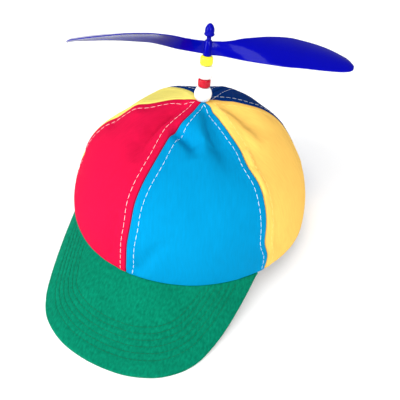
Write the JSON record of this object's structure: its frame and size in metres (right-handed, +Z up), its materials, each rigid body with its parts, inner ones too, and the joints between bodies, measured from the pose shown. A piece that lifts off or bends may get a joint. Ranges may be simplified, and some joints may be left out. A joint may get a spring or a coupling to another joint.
{
  "type": "propeller beanie",
  "caption": "Panelled cotton cap with a curved stiff brim and a two-bladed propeller that turns on a beaded shaft at its top.",
  "frame": {"origin": "on the surface the cap rests on, under the middle of the whole part's box", "axes": "+Z up, the brim points to -Y, the shaft leans back towards +Y"},
  "size_m": [0.1746, 0.2402, 0.144],
  "materials": {
    "cloth_navy": "cotton twill",
    "cloth_yellow": "cotton twill",
    "cloth_red": "cotton twill",
    "cloth_cyan": "cotton twill",
    "cloth_orange_yellow": "cotton twill",
    "cloth_green": "cotton twill over a stiff core",
    "bead_white": "glossy",
    "bead_red": "glossy",
    "bead_yellow": "glossy",
    "blue_plastic": "glossy moulded plastic"
  },
  "bodies": {
    "hat": {"panel_back_left": "cloth_navy", "panel_side_left": "cloth_yellow", "panel_front_left": "cloth_red", "panel_front_right": "cloth_cyan", "panel_side_right": "cloth_orange_yellow", "panel_back_right": "cloth_navy", "brim": "cloth_green", "base_bead": "bead_white", "red_ring_bead": "bead_red", "white_bead": "bead_white", "yellow_ring_bead": "bead_yellow", "shaft": "blue_plastic"},
    "propeller": {"propeller": "blue_plastic"}
  },
  "joints": [
    {"name": "propeller_spin", "type": "hinge", "parent": "hat", "child": "propeller", "pos_m": [-0.00017, 0.04446, 0.12928], "axis": [0, 0.1852, 0.9827], "continuous": true}
  ]
}
